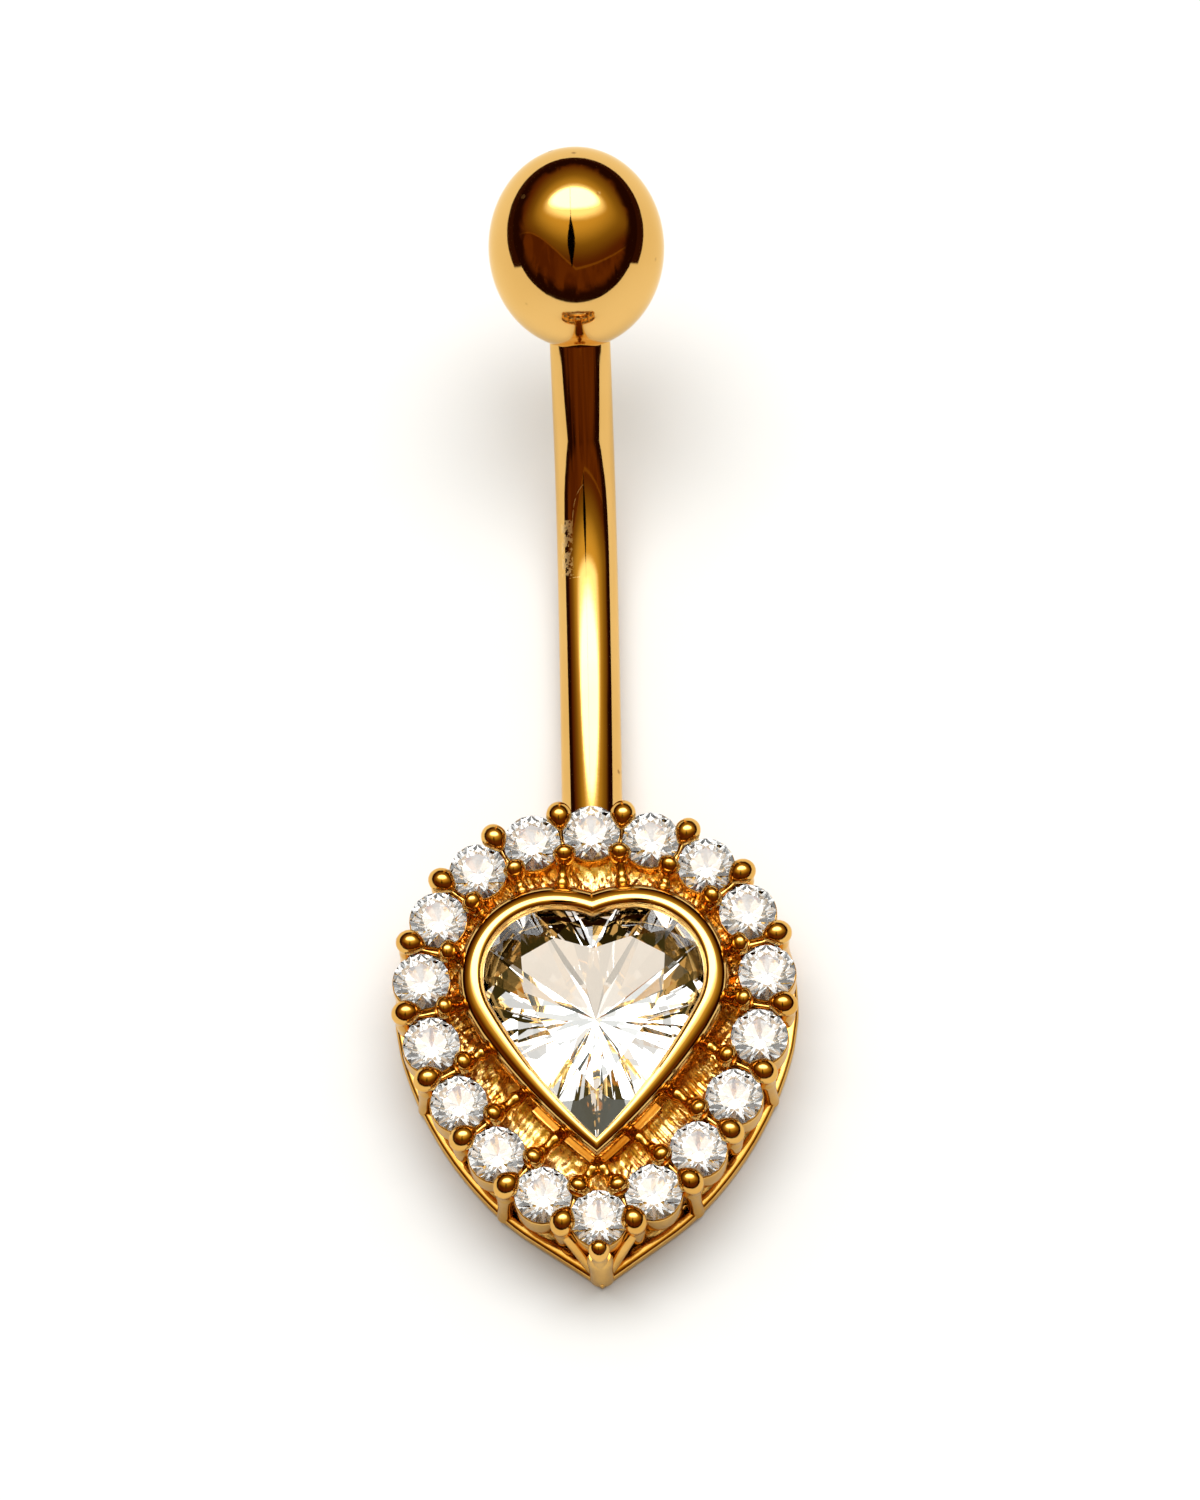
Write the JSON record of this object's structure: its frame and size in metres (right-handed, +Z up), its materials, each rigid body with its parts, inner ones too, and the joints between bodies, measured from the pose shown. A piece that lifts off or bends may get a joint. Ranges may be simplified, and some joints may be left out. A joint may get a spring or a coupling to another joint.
{
  "type": "navel ring",
  "caption": "Curved barbell navel ring: a heart stone in a smooth bezel, a halo of round stones over a pierced gallery, and an oval screw-on ball.",
  "frame": {"origin": "Middle of the whole length and width, on the plane that the piece rests on when it lies face up", "axes": "+X to the right of the stones' faces, +Y from the heart's tip towards the ball, +Z up out of the stones' faces"},
  "size_m": [0.0108, 0.0296, 0.0091],
  "materials": {
    "gold": "polished",
    "clear_stone": "faceted, clear"
  },
  "bodies": {
    "jewelled_bar": {"curved_bar_setting": "gold", "heart_stone": "clear_stone", "halo_stone_00": "clear_stone", "halo_stone_01": "clear_stone", "halo_stone_02": "clear_stone", "halo_stone_03": "clear_stone", "halo_stone_04": "clear_stone", "halo_stone_05": "clear_stone", "halo_stone_06": "clear_stone", "halo_stone_07": "clear_stone", "halo_stone_08": "clear_stone", "halo_stone_09": "clear_stone", "halo_stone_10": "clear_stone", "halo_stone_11": "clear_stone", "halo_stone_12": "clear_stone", "halo_stone_13": "clear_stone", "halo_stone_14": "clear_stone", "halo_stone_15": "clear_stone", "halo_stone_16": "clear_stone", "halo_stone_17": "clear_stone"},
    "ball": {"screw_ball": "gold"}
  },
  "joints": [
    {"name": "ball_unscrew", "type": "slide", "parent": "jewelled_bar", "child": "ball", "axis": [0, 0.7071, 0.7071], "range_m": [0, 0.004]}
  ]
}
